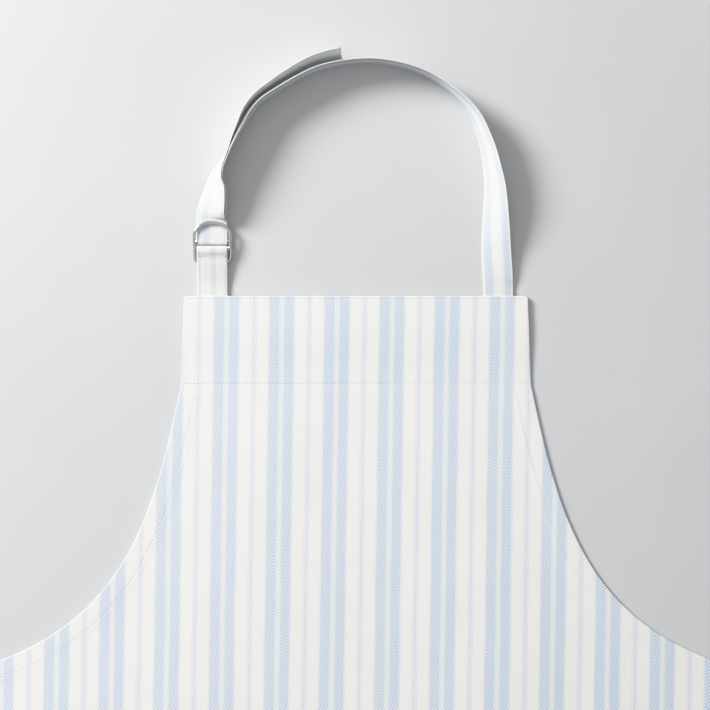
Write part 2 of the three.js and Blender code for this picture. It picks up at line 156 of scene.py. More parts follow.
def add_piece(name, vertices, faces, cloth_places, material):
    """A smooth closed mesh. cloth_places gives each point's place on the flat cloth, across and along."""
    if signed_volume(vertices, faces) < 0:
        faces = [tuple(reversed(face)) for face in faces]
    mesh = bpy.data.meshes.new(name)
    mesh.from_pydata([vertex * MM for vertex in vertices], [], faces)
    mesh.shade_smooth()
    layer = mesh.uv_layers.new(name="cloth")
    corners = [0] * len(mesh.loops)
    mesh.loops.foreach_get("vertex_index", corners)
    flat = []
    for corner in corners:
        across, along = cloth_places[corner]
        flat += (across * MM, along * MM)
    layer.data.foreach_set("uv", flat)
    mesh.materials.append(material)
    return add_object(name, mesh)


def loft_faces(count, ring, closed=False):
    """Faces between count rings of points: capped at both ends, or closed round on themselves."""
    faces = []
    for i in range(count if closed else count - 1):
        here = i * ring
        there = (i + 1) % count * ring
        for k in range(ring):
            follow = (k + 1) % ring
            faces.append((here + k, here + follow, there + follow, there + k))
    if not closed:
        faces.append(tuple(range(ring - 1, -1, -1)))
        faces.append(tuple(range((count - 1) * ring, count * ring)))
    return faces


def grid_border(rows, columns):
    """Row and column of each point round the border of a grid."""
    border = [(0, j) for j in range(columns)]
    border += [(i, columns - 1) for i in range(1, rows)]
    border += [(rows - 1, j) for j in range(columns - 2, -1, -1)]
    border += [(i, 0) for i in range(rows - 2, 0, -1)]
    return border


def cloth_sheet(name, top, bottom, places, material, rim_z=None):
    """A closed sheet from two grids of points. Its rim bulges, or goes straight down to rim_z."""
    rows = len(top)
    columns = len(top[0])
    vertices = [point for row in top for point in row] + [point for row in bottom for point in row]
    cloth_places = [place for row in places for place in row] * 2
    under = rows * columns
    faces = []
    for i in range(rows - 1):
        for j in range(columns - 1):
            start = i * columns + j
            quad = (start, start + 1, start + columns + 1, start + columns)
            faces.append(quad)
            faces.append(tuple(under + corner for corner in reversed(quad)))
    border = grid_border(rows, columns)
    first = len(vertices)
    for i, j in border:
        upper = top[i][j]
        lower = bottom[i][j]
        if rim_z is None:
            inner = top[min(max(i, 1), rows - 2)][min(max(j, 1), columns - 2)]
            out = Vector((upper.x - inner.x, upper.y - inner.y, 0)).normalized()
            vertices.append((upper + lower) / 2 + out * (upper - lower).length * 0.4)
        else:
            vertices.append(Vector((upper.x, upper.y, rim_z)))
        cloth_places.append(places[i][j])
    for k, (i, j) in enumerate(border):
        follow = (k + 1) % len(border)
        here = i * columns + j
        there = border[follow][0] * columns + border[follow][1]
        faces.append((there, here, first + k, first + follow))
        faces.append((first + follow, first + k, under + here, under + there))
    return add_piece(name, vertices, faces, cloth_places, material)


# ---- materials ----


class Nodes:
    """Short ways to add shader nodes to one material."""

    def __init__(self, name):
        self.material = bpy.data.materials.new(name)
        self.material.use_nodes = True
        self.tree = self.material.node_tree
        self.shader = self.tree.nodes["Principled BSDF"]

    def add(self, kind, **settings):
        node = self.tree.nodes.new(kind)
        for key, value in settings.items():
            setattr(node, key, value)
        return node

    def link(self, source, target):
        self.tree.links.new(source, target)

    def math(self, operation, *values):
        node = self.add("ShaderNodeMath", operation=operation)
        for socket, value in zip(node.inputs, values):
            if isinstance(value, (int, float)):
                socket.default_value = value
            else:
                self.link(value, socket)
        return node.outputs[0]

    def plus(self, *values):
        return self.math("ADD", *values)

    def times(self, *values):
        return self.math("MULTIPLY", *values)

    def centred(self, share, reach):
        """A share from 0 to 1, made into half a reach either side of zero."""
        return self.times(self.math("SUBTRACT", share, 0.5), reach)

    def set(self, **values):
        """Values on the shader's own sockets."""
        for name, value in values.items():
            self.shader.inputs[name.replace("_", " ")].default_value = value

    def colour(self, source):
        self.link(source, self.shader.inputs["Base Color"])

    def noise(self, vector, scale, detail=2, stretch=(1, 1, 1)):
        mapping = self.add("ShaderNodeMapping")
        mapping.inputs["Scale"].default_value = stretch
        self.link(vector, mapping.inputs["Vector"])
        node = self.add("ShaderNodeTexNoise")
        node.inputs["Scale"].default_value = scale
        node.inputs["Detail"].default_value = detail
        self.link(mapping.outputs["Vector"], node.inputs["Vector"])
        return node.outputs["Fac"]

    def mix(self, share, first, second, blend="MIX"):
        node = self.add("ShaderNodeMix", data_type="RGBA", blend_type=blend)
        for name, value in (("Factor", share), ("A", first), ("B", second)):
            socket = next(s for s in node.inputs if s.name == name and s.enabled)
            if isinstance(value, (int, float, tuple)):
                socket.default_value = value
            else:
                self.link(value, socket)
        return next(s for s in node.outputs if s.enabled)

    def bump(self, height, distance, strength=1):
        node = self.add("ShaderNodeBump")
        node.inputs["Strength"].default_value = strength
        node.inputs["Distance"].default_value = distance * MM
        self.link(height, node.inputs["Height"])
        self.link(node.outputs["Normal"], self.shader.inputs["Normal"])


CREAM = (0.905, 0.895, 0.855, 1)
BLUE = (0.55, 0.645, 0.79, 1)

# How blue the cloth is across one repeat, or across one tape: place in millimetres, and depth.
TICKING_REPEAT = 44
TICKING_STRIPES = (
    (0.7, 0), (1.2, 0.32), (1.7, 0.16), (2.3, 0.74), (9.3, 0.8), (9.9, 0.45), (10.6, 0.22), (11.3, 0.42),
    (12.1, 0.16), (12.8, 0.2), (13.4, 0.46), (13.9, 0.36), (14.5, 0.8), (20.8, 0.82), (21.5, 0.4),
    (21.9, 0.2), (22.4, 0.4), (23.0, 0), (31.1, 0), (31.7, 0.36), (32.3, 0.14), (33.2, 0.28), (33.8, 0.74),
    (34.5, 0.3), (35.2, 0.14), (35.8, 0.42), (36.5, 0),
)
STRAP_STRIPES = (
    (1.2, 0), (2.0, 0.2), (2.7, 0.84), (7.7, 0.8), (8.3, 0.2), (9.0, 0.3), (9.8, 0), (15.2, 0),
    (15.8, 0.28), (16.4, 0.12), (17.1, 0.25), (17.8, 0.72), (22.1, 0.74), (22.7, 0),
)
TAIL_STRIPES = (
    (0.6, 0), (1.2, 0.25), (1.9, 0), (3.8, 0.1), (4.4, 0.6), (9.2, 0.62), (9.8, 0.25), (10.5, 0.1),
    (11.1, 0.25), (11.7, 0), (20.8, 0), (21.6, 0.4), (22.5, 0.1), (23.2, 0),
)
LOOP_STRIPES = (
    (0.6, 0.2), (1.6, 0.4), (2.6, 0), (10.6, 0), (11.3, 0.5), (12.2, 0.2), (13.1, 0.7), (13.9, 0.25),
    (14.6, 0.5), (15.3, 0), (21.9, 0), (22.6, 0.3), (23.3, 0),
)
TIE_STRIPES = (
    (2.6, 0), (3.2, 0.8), (8.6, 0.8), (9.3, 0.3), (10.0, 0.1), (10.6, 0.3), (11.2, 0), (13.8, 0),
    (14.4, 0.3), (15.0, 0.1), (15.7, 0.3), (16.4, 0.8), (21.8, 0.8), (22.4, 0),
)


def stripe_ramp(nodes, across, width, stripes):
    """How blue the cloth is, across a width that repeats."""
    share = nodes.math("FRACT", nodes.math("DIVIDE", across, width))
    ramp = nodes.add("ShaderNodeValToRGB")
    nodes.link(share, ramp.inputs["Fac"])
    stops = ramp.color_ramp.elements
    stops[0].position = 0
    stops[0].color = (0, 0, 0, 1)
    stops.remove(stops[1])
    for place, depth in stripes:
        stops.new(place / width).color = (depth, depth, depth, 1)
    return ramp.outputs["Color"]


HERRINGBONE = 7.1
TWILL_RUN = 2.8
TWILL_RISE = 2.6
WARP_PITCH = 0.58
WEFT_PITCH = 0.66
STRIPE_WANDER = 1.1
STRIPE_JITTER = 0.5
# How much bluer a stripe is, on average and from line to line of its twill, and where it is backed.
STRIPE_DEPTH = 0.95
TWILL_DEPTH = 0.62
BACKED_DEPTH = 1.12
THREAD_PLY = 0.45


def ticking(name, width, stripes, shift=0, shade=1.0, facing=False):
    """Cream cotton ticking with blue stripes in a herringbone twill, drawn on the flat cloth."""
    nodes = Nodes(name)
    place = nodes.add("ShaderNodeUVMap", uv_map="cloth").outputs["UV"]
    scaled = nodes.add("ShaderNodeVectorMath", operation="SCALE")
    scaled.inputs["Scale"].default_value = 1 / MM
    nodes.link(place, scaled.inputs[0])
    cloth = scaled.outputs["Vector"]
    split = nodes.add("ShaderNodeSeparateXYZ")
    nodes.link(cloth, split.inputs[0])
    along = split.outputs["Y"]

    wander = nodes.centred(nodes.noise(cloth, 0.02), STRIPE_WANDER)
    jitter = nodes.centred(nodes.noise(cloth, 0.9, 1), STRIPE_JITTER)
    across = nodes.plus(nodes.plus(split.outputs["X"], shift), nodes.plus(wander, jitter))
    blue = stripe_ramp(nodes, across, width, stripes)

    # The twill lines change their slant from one stripe of the weave to the next.
    side = nodes.math("SUBTRACT", nodes.math("FRACT", nodes.math("DIVIDE", across, 2 * HERRINGBONE)), 0.5)
    rise = nodes.times(nodes.math("DIVIDE", along, TWILL_RISE), nodes.math("SIGN", side))
    phase = nodes.times(nodes.plus(nodes.math("DIVIDE", across, TWILL_RUN), rise), math.tau)
    twill = nodes.math("SINE", phase)
    warp = nodes.math("SINE", nodes.times(across, math.tau / WARP_PITCH))
    weft = nodes.math("SINE", nodes.times(along, math.tau / WEFT_PITCH))
    yarn = nodes.times(warp, weft)

    threads = nodes.noise(cloth, 1.0, 3, stretch=(2.6, 0.09, 1))
    picks = nodes.noise(cloth, 1.0, 3, stretch=(0.09, 2.2, 1))
    cloudy = nodes.noise(cloth, 0.035, 3)

    depth = nodes.plus(STRIPE_DEPTH, nodes.times(twill, TWILL_DEPTH))
    depth = nodes.plus(depth, nodes.centred(threads, 0.7))
    strength = nodes.times(blue, depth)
    if facing:
        # Where the facing lies behind, less light comes through and the stripes look deeper.
        backed = nodes.add("ShaderNodeMapRange", interpolation_type="SMOOTHSTEP")
        backed.inputs["From Min"].default_value = bib_top - FACING_STITCH - 2
        backed.inputs["From Max"].default_value = bib_top - FACING_STITCH
        backed.inputs["To Min"].default_value = 1.0
        backed.inputs["To Max"].default_value = BACKED_DEPTH
        nodes.link(along, backed.inputs["Value"])
        strength = nodes.times(strength, backed.outputs["Result"])
    # shade scales both colours of the cloth down. On the strap, tail and loop tapes this is painted shade.
    cream = tuple(channel * shade for channel in CREAM[:3]) + (1,)
    deep = tuple(channel * shade for channel in BLUE[:3]) + (1,)
    striped = nodes.mix(strength, cream, deep)
    value = nodes.plus(0.955, nodes.times(threads, 0.045))
    value = nodes.plus(value, nodes.centred(picks, 0.05))
    value = nodes.plus(value, nodes.centred(cloudy, 0.045))
    # Darker along the twill lines: painted shade in the grooves between the twill's ribs.
    value = nodes.math("SUBTRACT", value, nodes.times(twill, 0.035))
    grey = nodes.add("ShaderNodeCombineColor")
    for channel in grey.inputs:
        nodes.link(value, channel)
    nodes.colour(nodes.mix(1.0, striped, grey.outputs[0], "MULTIPLY"))

    nodes.link(nodes.plus(0.86, nodes.times(picks, 0.1)), nodes.shader.inputs["Roughness"])
    nodes.set(Sheen_Weight=0.12, Sheen_Roughness=0.55, Specular_IOR_Level=0.25)
    height = nodes.plus(nodes.times(twill, 0.35), nodes.times(yarn, 0.3))
    height = nodes.plus(height, nodes.times(threads, 0.8))
    height = nodes.plus(height, nodes.times(picks, 0.8))
    nodes.bump(height, 0.09)
    return nodes.material


def nickel():
    """Polished nickel-plated wire with fine rub marks."""
    nodes = Nodes("ring_nickel")
    place = nodes.add("ShaderNodeTexCoord").outputs["Object"]
    marks = nodes.noise(place, 900, 3, stretch=(1, 0.3, 1))
    haze = nodes.noise(place, 120, 2)
    nodes.colour(nodes.mix(haze, (0.70, 0.69, 0.67, 1), (0.84, 0.83, 0.81, 1)))
    nodes.link(nodes.plus(0.06, nodes.times(marks, 0.08)), nodes.shader.inputs["Roughness"])
    nodes.set(Metallic=1)
    nodes.bump(marks, 0.015)
    return nodes.material


def cotton_thread():
    """Twisted sewing thread: fine slanting plies along each stitch."""
    nodes = Nodes("sewing_thread")
    place = nodes.add("ShaderNodeUVMap", uv_map="cloth").outputs["UV"]
    split = nodes.add("ShaderNodeSeparateXYZ")
    nodes.link(place, split.inputs[0])
    slant = nodes.plus(split.outputs["X"], split.outputs["Y"])
    ply = nodes.math("SINE", nodes.times(slant, math.tau / (THREAD_PLY * MM)))
    fuzz = nodes.noise(place, 2500, 2)
    # The thread's grey, darker than the cream cloth, is partly its own colour and partly painted shade of the
    # needle holes round each stitch.
    nodes.colour(nodes.mix(fuzz, (0.70, 0.71, 0.71, 1), (0.86, 0.86, 0.84, 1)))
    nodes.set(Roughness=0.7, Sheen_Weight=0.1)
    nodes.bump(nodes.plus(ply, fuzz), 0.04)
    return nodes.material


# The repeat is placed so that a double stripe lies a little to the left of the centreline.
PANEL_SHIFT = 26.75
# The strap, tail and loop tapes are darkened by this share. This is painted shade, which keeps the tapes that
# tilt towards the key light from showing brighter than the panel.
TAPE_PAINTED_SHADE = 0.93
panel_cloth = ticking("ticking", TICKING_REPEAT, TICKING_STRIPES, shift=PANEL_SHIFT, facing=True)
reverse_cloth = ticking("ticking_reverse", TICKING_REPEAT, TICKING_STRIPES, shift=PANEL_SHIFT + 3, shade=0.97)
strap_cloth = ticking("strap_tape", STRAP_WIDTH, STRAP_STRIPES, shade=TAPE_PAINTED_SHADE)
tail_cloth = ticking("tail_tape", STRAP_WIDTH, TAIL_STRIPES, shade=TAPE_PAINTED_SHADE)
loop_cloth = ticking("loop_tape", STRAP_WIDTH, LOOP_STRIPES, shade=TAPE_PAINTED_SHADE)
tie_cloth = ticking("tie_tape", TIE_WIDTH, TIE_STRIPES)
metal = nickel()
thread = cotton_thread()

# ---- outline of the front panel ----


def panel_edge():
    """Points down the right-hand edge of the front panel, from the bib's corner to the hem."""
    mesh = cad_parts["front_panel"].data
    points = {(round(v.co.x / MM, 3), round(v.co.y / MM, 3)) for v in mesh.vertices if v.co.x > 0}
    return [Vector(point) for point in sorted(points, key=lambda point: -point[1])]


edge = panel_edge()
waist = next(point for point in edge if point.x > half_skirt - 0.01)
armhole = [point for point in edge if waist.y - 0.01 <= point.y <= facing_foot + 0.01]


def edge_x(y):
    for upper, lower in zip(edge, edge[1:]):
        if lower.y <= y <= upper.y and upper.y > lower.y:
            return lerp(lower.x, upper.x, (y - lower.y) / (upper.y - lower.y))
    return edge[0].x


def along_line(line, distance):
    """Point on a line of points at a distance from its start."""
    for before, after in zip(line, line[1:]):
        step = (after - before).length
        if distance <= step:
            return before.lerp(after, max(distance, 0) / step)
        distance -= step
    return line[-1].copy()


armhole_length = sum((b - a).length for a, b in zip(armhole, armhole[1:]))
TANGENT_REACH = 8


def armhole_place(distance):
    """Point on the armhole's edge, and the direction from it into the cloth."""
    point = along_line(armhole, distance)
    ahead = along_line(armhole, min(distance + TANGENT_REACH, armhole_length))
    behind = along_line(armhole, max(distance - TANGENT_REACH, 0))
    tangent = (ahead - behind).normalized()
    return point, Vector((tangent.y, -tangent.x))


def inner_line(distance):
    """Point a margin inside the armhole's edge."""
    point, inwards = armhole_place(distance)
    return point + inwards * MARGIN


def mitre_distance():
    """Length down the armhole at which its inner line meets the inner line of the skirt's side."""
    low = 0
    high = armhole_length
    for _ in range(30):
        middle = (low + high) / 2
        if inner_line(middle).x < half_skirt - MARGIN:
            low = middle
        else:
            high = middle
    return low


# ---- front panel ----

mitre_at = mitre_distance()
waist_mitre = inner_line(mitre_at)
MITRE_EASE = 70
CURL_STEPS = (0, 0.04, 0.15, 0.33, 0.56, 0.8)
STRIP_STEPS = (*CURL_STEPS, 2, 3.2, 5, 8, 11, 12.2, 12.7, 13.2, 13.8, 14.6, 15.6, 16.8, 18.4, 20, MARGIN)
MIDDLE_COLUMNS = 96
BIB_STEP = 2
ARMHOLE_STEP = 2.6
SIDE_STEP = 5
MITRE_FALL = 110
# Places of extra rows: down from the bib's top, and on either side of the facing's and the hem's stitches.
NEAR_TOP = (*CURL_STEPS, 1.6, 2.1, 2.6, 3.4)
NEAR_STITCH = (-2.2, -1.1, -0.5, 0, 0.5, 1.1)
NEAR_HEM = (4, 2, 0.6, 0, -0.6, -3)


def spread(first, last, step):
    """Even places from first to last, both left out, about a step apart."""
    count = max(round(abs(last - first) / step), 1)
    return [lerp(first, last, k / count) for k in range(1, count)]


def panel_rows():
    """Rows down the panel: the outer point, the point a margin inside it, and the length down the edge."""
    rows = []
    near_foot = [FACING_STITCH + step for step in NEAR_STITCH]
    for depth in (*NEAR_TOP, *spread(NEAR_TOP[-1], near_foot[0], BIB_STEP), *near_foot):
        y = bib_top - depth
        x = edge_x(y)
        rows.append((Vector((x, y)), Vector((x - MARGIN, y)), depth))
    for distance in (0, *spread(0, armhole_length, ARMHOLE_STEP), armhole_length):
        point, inwards = armhole_place(distance)
        inner = point + Vector((-MARGIN, 0)).lerp(inwards * MARGIN, smooth(distance, 0, 40))
        ease_from = armhole_length - MITRE_EASE
        if distance > ease_from:
            inner = inner_line(lerp(ease_from, mitre_at, (distance - ease_from) / MITRE_EASE))
        rows.append((point, inner, facing_depth + distance))
    near_hem = [hem_y + BOTTOM_STITCH + step for step in NEAR_HEM]
    low_steps = [hem_y + step for step in reversed(CURL_STEPS)]
    runs = [
        *spread(waist.y, near_hem[0], SIDE_STEP), *near_hem, *spread(near_hem[-1], low_steps[0], SIDE_STEP),
        *low_steps,
    ]
    for y in runs:
        fall = (waist_mitre.y - waist.y) * (1 - smooth(waist.y - y, 0, MITRE_FALL))
        along = facing_depth + armhole_length + waist.y - y
        rows.append((Vector((half_skirt, y)), Vector((half_skirt - MARGIN, y + fall)), along))
    return rows


def curl(distance):
    """How far a folded edge has dropped at a distance inside it."""
    if distance >= EDGE_CURL:
        return 0
    share = 1 - max(distance, 0) / EDGE_CURL
    return EDGE_CURL * (1 - math.sqrt(1 - share ** 2))


def seam(distance, along, wobble):
    """Groove that a row of stitches pulls into the cloth, and the puckers beside it."""
    groove = -0.14 * math.exp(-((distance / 0.75) ** 2))
    pucker = 0.08 * math.sin(along / 8.3 * math.tau + 5 * wobble) * math.exp(-abs(distance) / 4)
    return groove + pucker


def panel_top(x, y, from_edge, along):
    """Height of the front panel's upper face over the surface that the apron lies on."""
    from_top = bib_top - y
    from_hem = y - hem_y
    wobble = noise.noise(Vector((x / 37, y / 41, 3.1)))
    hemmed = smooth(facing_foot - y, -1, 7)
    on_hem = 1 - smooth(from_edge, HEM_WIDTH - 1, HEM_WIDTH + 9)
    on_foot = 1 - smooth(from_hem, BOTTOM_HEM - 1, BOTTOM_HEM + 9)
    on_facing = 1 - smooth(from_top, FACING_STITCH + 0.7, FACING_STITCH + 1.9)
    on_tape = 1 - smooth(from_top, SEWN_LENGTH - 6, SEWN_LENGTH + 38)
    under = max(BARE_REST, lerp(BARE_REST, HEM_REST, on_hem) * hemmed, lerp(BARE_REST, HEM_REST, on_foot))
    under = lerp(under, max(under, FACING_REST), on_facing)
    under = max(under, lerp(FACING_REST, TAPE_REST, on_tape))
    free = smooth(from_edge, 0, 30) * smooth(from_top, 0, 30)
    wave = noise.noise(Vector((x / 85, y / 130, 0.7))) * 0.9
    wave += noise.noise(Vector((x / 30, y / 55, 5.3))) * 0.32
    height = under + CLOTH + max(wave * lerp(0.35, 1, free) + 0.35, 0)
    height += seam(from_top - EDGE_STITCH, x, wobble)
    height += seam(from_top - FACING_STITCH, x, wobble)
    height += seam(from_hem - BOTTOM_STITCH, x, wobble)
    height += seam(from_edge - HEM_STITCH, along, wobble) * hemmed
    height -= curl(from_edge) + curl(from_top) + curl(from_hem)
    return max(height, RIM_Z + 0.1)


def drifted(x, y):
    """Across the cloth: its stripes run very slightly off the apron's own line."""
    return x + 0.015 * (bib_top - y)


def build_panel():
    top = []
    bottom = []
    places = []
    for outer, inner, along in panel_rows():
        right = [(outer.lerp(inner, step / MARGIN), step) for step in STRIP_STEPS]
        left = [(Vector((-point.x, point.y)), step) for point, step in right]
        middle = []
        for k in range(1, MIDDLE_COLUMNS):
            middle.append((Vector((lerp(-inner.x, inner.x, k / MIDDLE_COLUMNS), inner.y)), MARGIN))
        line = [*left, *middle, *reversed(right)]
        upper_row = []
        lower_row = []
        for point, from_edge in line:
            z = panel_top(point.x, point.y, from_edge, along)
            upper_row.append(Vector((point.x, point.y, z)))
            from_top = bib_top - point.y
            from_hem = point.y - hem_y
            tuck_x = CLOTH * max(1 - from_edge / EDGE_CURL, 0) * -math.copysign(1, point.x)
            tuck_y = CLOTH * (max(1 - from_hem / EDGE_CURL, 0) - max(1 - from_top / EDGE_CURL, 0))
            near = min(from_edge, from_top, from_hem) / EDGE_CURL
            low = max(z - CLOTH * min(near, 1), RIM_Z)
            lower_row.append(Vector((point.x + tuck_x, point.y + tuck_y, low)))
        top.append(upper_row)
        bottom.append(lower_row)
        places.append([(drifted(point.x, point.y), point.y) for point, _ in line])
    return cloth_sheet("apron_panel", top, bottom, places, panel_cloth, rim_z=RIM_Z)


# ---- facing and hems ----

FACING_CLEAR = 1.5
FACING_SHIFT = 7
HEM_CLOTH = CLOTH * 0.9
HEM_INSET = 0.75
BOTTOM_HEM_INSET = 0.8


def build_facing():
    rows = 26
    columns = 72
    top = []
    for i in range(rows + 1):
        y = lerp(facing_high.y, facing_foot, i / rows)
        reach = edge_x(y) - FACING_CLEAR
        row = []
        for j in range(columns + 1):
            x = lerp(-reach, reach, j / columns)
            lift = 0.12 * noise.noise(Vector((x / 22, y / 19, 9.4)))
            row.append(Vector((x, y, CLOTH + 0.05 + max(lift, 0))))
        top.append(row)
    bottom = [[point - UP * CLOTH for point in row] for row in top]
    places = [[(drifted(point.x, point.y) + FACING_SHIFT, point.y) for point in row] for row in top]
    return cloth_sheet("facing_cloth", top, bottom, places, reverse_cloth)


def folded_section(width, turn_in):
    """Ring of points round a hem seen from its end: out from the edge, and back over itself."""
    half = HEM_CLOTH / 2
    low = half + 0.05
    high = low + HEM_CLOTH + 0.1
    middle = (low + high) / 2
    swing = (high - low) / 2
    bend_at = width - swing - half
    outer = [(HEM_INSET, low - half), (bend_at, low - half)]
    for k in range(1, 8):
        angle = -math.pi / 2 + math.pi * k / 8
        outer.append((bend_at + math.cos(angle) * (swing + half), middle + math.sin(angle) * (swing + half)))
    outer += [(bend_at, high + half), (bend_at - turn_in, high + half)]
    inner = [(bend_at - turn_in, high - half), (bend_at, high - half)]
    for k in range(1, 4):
        angle = math.pi / 2 - math.pi * k / 4
        reach = max(swing - half, 0.02)
        inner.append((bend_at + math.cos(angle) * reach, middle + math.sin(angle) * reach))
    inner += [(bend_at, low + half), (HEM_INSET, low + half)]
    return outer + inner


def build_hem(name, stations, section, sign=1):
    """A hem lofted along stations: a point on the edge, and the direction from it into the cloth."""
    vertices = []
    places = []
    for point, inwards in stations:
        for across, z in section:
            spot = point + inwards * across
            vertices.append(Vector((spot.x * sign, spot.y, z)))
            places.append((drifted(spot.x * sign, spot.y), spot.y))
    return add_piece(name, vertices, loft_faces(len(stations), len(section)), places, reverse_cloth)


def build_hems():
    """Turned hems of both armholes, both sides and the foot."""
    last = armhole_length
    while armhole_place(last)[0].x > half_skirt - TIE_SEWN - 2 * GAP:
        last -= 1
    armhole_line = [armhole_place(distance) for distance in (4, *spread(4, last, 4), last)]
    upper = tab_low.y - GAP
    lower = hem_y + BOTTOM_HEM + GAP
    side_line = [(Vector((half_skirt, y)), Vector((-1, 0))) for y in (upper, *spread(upper, lower, 8), lower)]
    pieces = []
    for word, sign in SIDES:
        for part, line, width, turn_in in (
            ("armhole_hem", armhole_line, HEM_WIDTH, 8), ("side_hem", side_line, SIDE_HEM, 6),
        ):
            piece = build_hem(f"{part}_cloth_{word}", line, folded_section(width, turn_in), sign)
            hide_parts(f"{part}_{word}")
            pieces.append(piece)
    reach = half_skirt - BOTTOM_HEM_INSET
    foot_line = [(Vector((x, hem_y)), Vector((0, 1))) for x in (-reach, *spread(-reach, reach, 10), reach)]
    piece = build_hem("bottom_hem_cloth", foot_line, folded_section(BOTTOM_HEM, 16))
    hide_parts("bottom_hem")
    return [*pieces, piece]


# ---- tapes ----


class Station:
    """One cross-line of a tape: a point on one long edge, the direction across, and the face's direction."""

    def __init__(self, edge, across, face, width=STRAP_WIDTH):
        self.edge = edge
        self.across = across
        self.face = face
        self.width = width

    def middle(self):
        return self.edge + self.across * (self.width / 2)


def tape_section(width, thickness):
    """Ring round a pressed and edge-stitched tape: place across it, and height over its mid-plane."""
    half = thickness / 2
    rounding = [(half * (1 - math.cos(a)), half * math.sin(a)) for a in (0, 0.55, 1.05)]
    flat = [(1.0, half), (1.5, half * 0.86), (1.9, half * 0.72), (2.3, half * 0.86), (3.0, half)]
    count = 5
    flat += [(lerp(3.0, width - 3.0, k / count), half * 1.04) for k in range(1, count)]
    flat += [(width - place, height) for place, height in reversed(flat[:5])]
    upper = rounding + flat + [(width - place, height) for place, height in reversed(rounding)]
    lower = [(place, -height) for place, height in reversed(upper[1:-1])]
    return upper + lower


def build_tape(name, stations, thickness, material, width=STRAP_WIDTH):
    """A tape lofted through stations, and its length along the middle. Its cloth place runs along that."""
    section = tape_section(width, thickness)
    vertices = []
    places = []
    along = 0
    before = stations[0].middle()
    for station in stations:
        along += (station.middle() - before).length
        before = station.middle()
        stretch = station.width / width
        cup = 0.16 * noise.noise(Vector((along / 31, 2.2, width)))
        for across, height in section:
            bow = cup * (1 - (2 * across / width - 1) ** 2)
            spot = station.edge + station.across * across * stretch + station.face * (height + bow)
            vertices.append(spot)
            places.append((across, along))
    piece = add_piece(name, vertices, loft_faces(len(stations), len(section)), places, material)
    return piece, along


def level_stations(x0, line):
    """Stations of a tape that stays level across and follows a line of (y, z) points."""
    stations = []
    for i, point in enumerate(line):
        before = line[max(i - 1, 0)]
        after = line[min(i + 1, len(line) - 1)]
        ahead = Vector((0, after[0] - before[0], after[1] - before[1])).normalized()
        face = Vector((0, -ahead.z, ahead.y))
        stations.append(Station(Vector((x0, *point)), RIGHT, face))
    return stations


def rounded_line(points, step):
    """A smooth line through points, sampled about a step apart."""
    line = []
    for i in range(len(points) - 1):
        p0 = Vector(points[max(i - 1, 0)])
        p1 = Vector(points[i])
        p2 = Vector(points[i + 1])
        p3 = Vector(points[min(i + 2, len(points) - 1)])
        count = max(round((p2 - p1).length / step), 1)
        leave = (p2 - p0) * 0.5
        arrive = (p3 - p1) * 0.5
        span = (p2 - p1).length
        leave = leave.normalized() * min(leave.length, span) if leave.length else leave
        arrive = arrive.normalized() * min(arrive.length, span) if arrive.length else arrive
        for k in range(count):
            t = k / count
            a = 2 * t ** 3 - 3 * t ** 2 + 1
            b = t ** 3 - 2 * t ** 2 + t
            c = -2 * t ** 3 + 3 * t ** 2
            d = t ** 3 - t ** 2
            line.append(p1 * a + leave * b + p2 * c + arrive * d)
    line.append(Vector(points[-1]))
    return line


# ---- neck strap: the same stations as the part's source ----

ring_half = (RING_INNER + RING_WIRE) / 2
ring_reach = RING_DEPTH - RING_WIRE
wire_radius = RING_WIRE / 2
back_ring_z = TAPE + GAP + wire_radius
front_bar_z = back_ring_z + RING_WIRE + 2 * GAP
fold_mid_y = bib_top + BACK_BAR + ring_reach - FOLD_SETBACK
fold_mid_z = TAPE + FOLD_ROOM / 2
fold_radius = (FOLD_ROOM + TAPE) / 2
ring_crown_y = bib_top + FRONT_BAR + RING_DEPTH
crown_y = bib_top + NECK_LOOP_HEIGHT

# Each station of the strap's outer line: share of the leg's reach, share of the rise, and twist in degrees.
RING_SIDE = (
    (-1.004, 0, 0), (-0.992, 0.065, 14), (-0.967, 0.137, 29), (-0.943, 0.208, 43), (-0.92, 0.276, 57),
    (-0.88, 0.339, 70), (-0.828, 0.407, 79), (-0.77, 0.494, 85), (-0.714, 0.58, 88), (-0.65, 0.68, 90),
    (-0.59, 0.747, 90), (-0.486, 0.818, 90), (-0.37, 0.887, 90), (-0.24, 0.949, 90), (-0.074, 0.988, 90),
)
SEWN_SIDE = (
    (0.08, 1, 90), (0.18, 0.995, 90), (0.29, 0.981, 90), (0.41, 0.955, 91), (0.51, 0.922, 92),
    (0.62, 0.87, 95), (0.71, 0.818, 99), (0.782, 0.757, 104), (0.836, 0.681, 110), (0.872, 0.619, 115),
    (0.9, 0.554, 121), (0.932, 0.468, 130), (0.959, 0.328, 148), (0.978, 0.188, 166), (0.99, 0.09, 174),
    (0.993, 0.04, 179), (0.993, 0.004, 180),
)
HEADING_STEP = 0.002
outer_x = ring_x - STRAP_WIDTH / 2
strap_points = [Vector((outer_x, fold_mid_y, 0)), Vector((outer_x, (fold_mid_y + ring_crown_y) / 2, 0))]
strap_points += [Vector((a * leg_outer, lerp(ring_crown_y, crown_y, r), t)) for a, r, t in RING_SIDE]
strap_points += [Vector((a * leg_outer, lerp(bib_top, crown_y, r), t)) for a, r, t in SEWN_SIDE]


